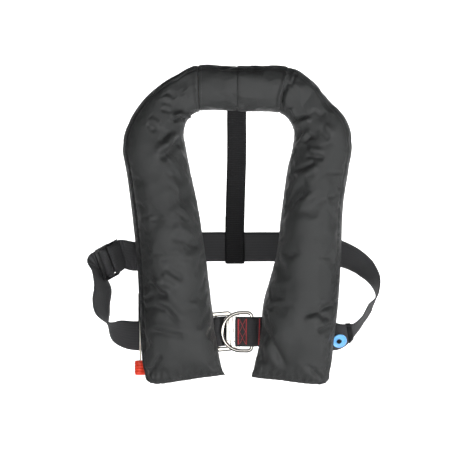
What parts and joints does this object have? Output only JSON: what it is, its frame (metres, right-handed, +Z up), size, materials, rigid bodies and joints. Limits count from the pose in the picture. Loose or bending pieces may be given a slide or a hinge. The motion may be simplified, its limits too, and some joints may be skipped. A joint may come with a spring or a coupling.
{
  "type": "inflatable life jacket",
  "caption": "Packed inflatable life jacket with a padded horseshoe collar, harness belt, steel tether ring and closure, and a manual pull toggle.",
  "frame": {"origin": "middle of the underside of the collar, where a neck or a hanger carries the jacket", "axes": "+Z up, -Y to the front of the jacket, +Y to the wearer's side, +X to the wearer's left lobe"},
  "size_m": [0.4571, 0.12, 0.4957],
  "materials": {
    "shell_nylon": "dark charcoal coated woven nylon, low satin sheen, sewn seams",
    "lining": "black polyester lining, matt",
    "webbing": "black woven polyester webbing with a fine cross rib",
    "hook_tape": "black hook-and-loop tape",
    "rubber_band": "black rubber",
    "bladder_nylon": "yellow coated nylon",
    "stainless_steel": "polished stainless steel",
    "cylinder_steel": "silver grey lacquered steel",
    "black_plastic": "moulded black plastic",
    "grey_plastic": "moulded grey plastic",
    "red_plastic": "moulded orange red plastic, ribbed grip",
    "green_plastic": "moulded green plastic",
    "blue_plastic": "light blue moulded plastic",
    "whistle_plastic": "orange moulded plastic",
    "cord": "off-white braided cord"
  },
  "bodies": {
    "jacket": {"left_front_cover": "shell_nylon", "right_front_cover": "shell_nylon", "left_collar_cover": "shell_nylon", "right_collar_cover": "shell_nylon", "left_back_panel": "lining", "right_back_panel": "lining", "left_neck_lining": "lining", "right_neck_lining": "lining", "cord_hood": "lining", "right_belt": "webbing", "left_belt": "webbing", "back_strap": "webbing", "left_belt_keeper": "webbing", "right_belt_keeper": "webbing", "right_belt_loop": "webbing", "left_closure_tape": "hook_tape", "right_closure_tape": "hook_tape", "whistle_band": "rubber_band", "inflatable_chamber": "bladder_nylon", "closure_frame": "stainless_steel", "lever_pin": "stainless_steel", "disc_rivet": "stainless_steel", "inflator_body": "black_plastic", "belt_slider": "black_plastic", "oral_tube": "black_plastic", "tube_flange": "black_plastic", "manifold_stem": "grey_plastic", "manifold_nut": "grey_plastic", "trigger_cartridge": "grey_plastic", "oral_valve_body": "grey_plastic", "indicator_clip": "green_plastic"},
    "ring": {"tether_ring": "stainless_steel"},
    "hook": {"closure_hook": "stainless_steel"},
    "lever": {"inflator_lever": "black_plastic"},
    "handle": {"pull_toggle": "red_plastic", "cord_knot": "cord", "pull_cord": "cord", "lever_cord": "cord"},
    "pin": {"piercing_pin": "stainless_steel"},
    "cylinder": {"gas_cylinder": "cylinder_steel"},
    "cap": {"cartridge_cap": "green_plastic"},
    "plunger": {"oral_valve_plunger": "red_plastic"},
    "dust_cap_body": {"dust_cap": "black_plastic"},
    "whistle_body": {"whistle": "whistle_plastic"},
    "disc": {"belt_disc": "blue_plastic"}
  },
  "joints": [
    {"name": "ring_swing", "type": "hinge", "parent": "jacket", "child": "ring", "pos_m": [0.0225, 0.0259, -0.343], "axis": [0, 0, 1], "range_deg": [0, 95]},
    {"name": "hook_swing", "type": "hinge", "parent": "jacket", "child": "hook", "pos_m": [0.001, 0.0337, -0.343], "axis": [0, 0, -1], "range_deg": [0, 60]},
    {"name": "lever_swing", "type": "hinge", "parent": "jacket", "child": "lever", "pos_m": [-0.118, 0.0118, -0.303], "axis": [0, -1, 0], "range_deg": [0, 60]},
    {"name": "toggle_pull", "type": "slide", "parent": "jacket", "child": "handle", "axis": [0, 0, -1], "range_m": [0, 0.03]},
    {"name": "pin_stroke", "type": "slide", "parent": "jacket", "child": "pin", "axis": [0, 0, 1], "range_m": [0, 0.004]},
    {"name": "cylinder_turn", "type": "hinge", "parent": "jacket", "child": "cylinder", "pos_m": [-0.1, -0.002, -0.25], "axis": [0, 0, 1], "continuous": true},
    {"name": "cap_turn", "type": "hinge", "parent": "jacket", "child": "cap", "pos_m": [-0.07, -0.002, -0.297], "axis": [1, 0, 0], "range_deg": [0, 90]},
    {"name": "valve_press", "type": "slide", "parent": "jacket", "child": "plunger", "axis": [0, 0, -1], "range_m": [0, 0.003], "stiffness_N_per_m": 150, "springref_m": -0.002},
    {"name": "dust_cap_pull", "type": "slide", "parent": "jacket", "child": "dust_cap_body", "axis": [0, 0, 1], "range_m": [0, 0.014]},
    {"name": "whistle_pull", "type": "slide", "parent": "jacket", "child": "whistle_body", "axis": [0, 0, 1], "range_m": [0, 0.03]},
    {"name": "disc_turn", "type": "hinge", "parent": "jacket", "child": "disc", "pos_m": [0.15838, 0.03101, -0.35769], "axis": [0.1615, -0.8936, -0.4188], "continuous": true}
  ],
  "couplings": [
    {"joint": "toggle_pull", "follows": "lever_swing", "m_per_rad": 0.0286},
    {"joint": "pin_stroke", "follows": "lever_swing", "m_per_rad": 0.0038}
  ]
}
